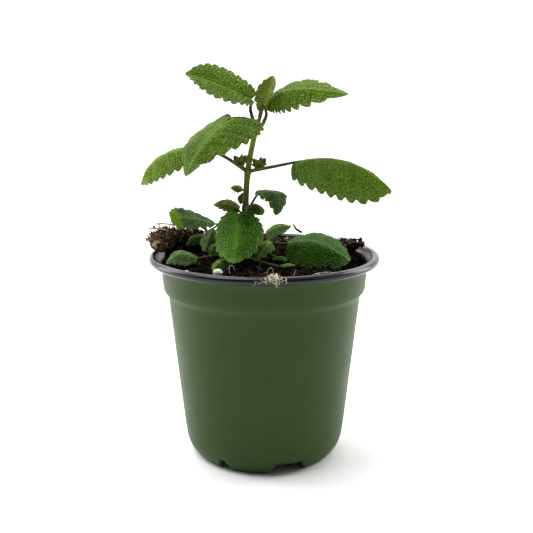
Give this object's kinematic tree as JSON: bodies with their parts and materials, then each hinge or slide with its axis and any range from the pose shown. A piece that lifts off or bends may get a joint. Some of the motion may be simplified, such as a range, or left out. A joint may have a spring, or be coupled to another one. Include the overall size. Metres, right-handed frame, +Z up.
{
  "type": "potted herb plant",
  "caption": "Young lemon balm plant with toothed quilted leaves on one upright stem, growing in dark potting mix in a round tapered plastic nursery pot.",
  "frame": {"origin": "on the pot's axis at the ground, under the middle of the whole plant", "axes": "+Z up along the pot's axis and the plant's height, -Y towards the front, +X to the right seen from the front"},
  "size_m": [0.1215, 0.1145, 0.1927],
  "materials": {
    "pot_plastic": "satin thermoformed plastic, green outside, black at the rim and inside",
    "potting_mix": "dark crumbly peat and bark mix",
    "fibre": "shredded brown bark fibre",
    "stem": "fine-haired green stem, browner below",
    "leaf_green": "matte wrinkled leaf",
    "leaf_dark": "matte wrinkled leaf, shaded green",
    "leaf_grey": "matte wrinkled leaf with a pale grey sheen",
    "leaf_young": "matte olive young leaf",
    "perlite": "rough porous cream granule",
    "bark": "split pale bark"
  },
  "bodies": {
    "root": {"pot": "pot_plastic", "potting_mix": "potting_mix", "fibre_mat": "fibre", "main_stem": "stem", "apex_bud": "leaf_young", "leaf_top_left": "leaf_green", "leaf_top_right": "leaf_green", "leaf_top_centre": "leaf_young", "leaf_mid_front": "leaf_green", "leaf_mid_left": "leaf_green", "leaf_mid_right": "leaf_green", "leaf_drooping": "leaf_grey", "leaf_node_left": "leaf_young", "leaf_node_low": "leaf_green", "leaf_low_left": "leaf_young", "leaf_centre_top": "leaf_dark", "leaf_centre": "leaf_green", "leaf_left_grey": "leaf_grey", "leaf_left_back": "leaf_grey", "leaf_left_small": "leaf_grey", "leaf_left_soil": "leaf_grey", "leaf_inner_dark": "leaf_dark", "leaf_front_low": "leaf_green", "leaf_right_inner": "leaf_green", "leaf_right_back": "leaf_dark", "leaf_right_big": "leaf_green", "leaf_right_dark": "leaf_dark", "leaf_right_thin": "leaf_green", "shoot_left": "leaf_young", "shoot_right": "leaf_young", "perlite_1": "perlite", "perlite_2": "perlite", "perlite_3": "perlite", "perlite_4": "perlite", "perlite_5": "perlite", "perlite_6": "perlite", "bark_sliver_1": "bark", "bark_sliver_2": "bark", "twig": "fibre", "rim_tuft": "perlite"}
  },
  "joints": []
}
